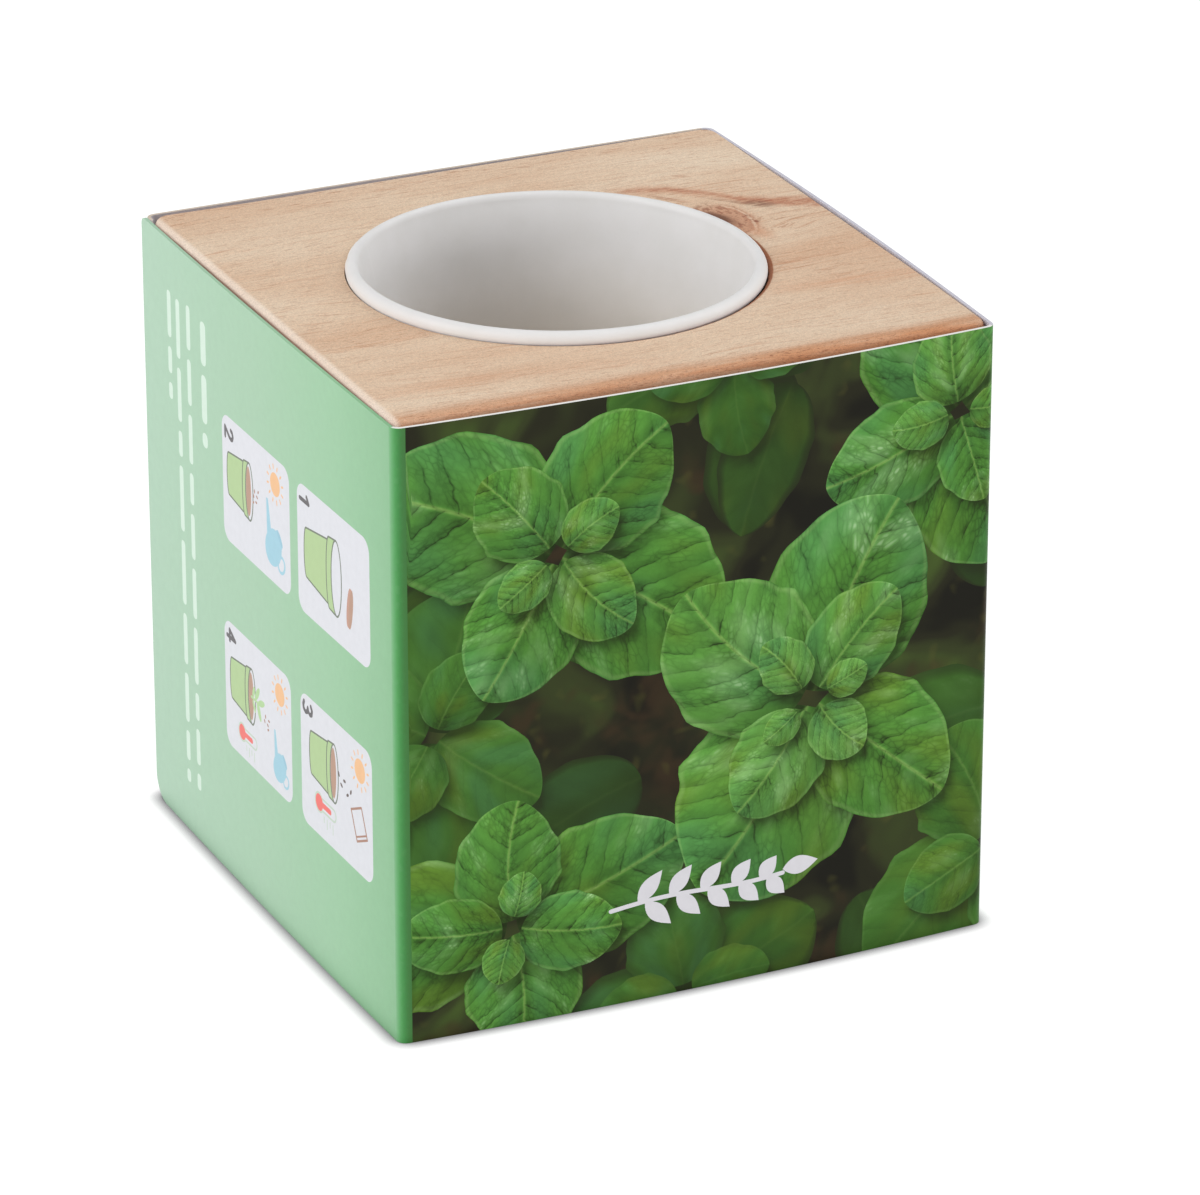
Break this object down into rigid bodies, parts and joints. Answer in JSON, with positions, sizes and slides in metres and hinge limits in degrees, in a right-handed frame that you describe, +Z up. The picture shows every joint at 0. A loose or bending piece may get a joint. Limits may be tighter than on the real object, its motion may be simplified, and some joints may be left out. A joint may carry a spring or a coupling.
{
  "type": "indoor herb planter",
  "caption": "Square pine block with a round bore that holds a rolled-rim paper growing cup, wrapped in a printed card sleeve, with a coir tablet and a sachet of seeds inside.",
  "frame": {"origin": "centre of the whole planter's bounding box, on the plane it stands on", "axes": "+Z up out of the cup; -Y out of the picture panel; -X out of the instruction panel"},
  "size_m": [0.0802, 0.0809, 0.0816],
  "materials": {
    "pine": "matte",
    "cup_paper": "satin",
    "sleeve_card": "satin",
    "coir": "matte",
    "kraft_paper": "matte",
    "seed": "matte"
  },
  "bodies": {
    "block": {"wood_block": "pine"},
    "sleeve": {"sleeve": "sleeve_card"},
    "cup": {"cup_sidewall": "cup_paper", "cup_base": "cup_paper"},
    "pellet": {"coir_pellet": "coir"},
    "sachet": {"seed_sachet": "kraft_paper", "seeds": "seed"}
  },
  "joints": [
    {"name": "sleeve_slide", "type": "slide", "parent": "block", "child": "sleeve", "axis": [0, 0, 1], "range_m": [0, 0.085]},
    {"name": "cup_lift", "type": "slide", "parent": "block", "child": "cup", "axis": [0, 0, 1], "range_m": [0, 0.055]},
    {"name": "pellet_lift", "type": "slide", "parent": "cup", "child": "pellet", "axis": [0, 0, 1], "range_m": [0, 0.05]},
    {"name": "sachet_lift", "type": "slide", "parent": "pellet", "child": "sachet", "axis": [0, 0, 1], "range_m": [0, 0.04]}
  ]
}
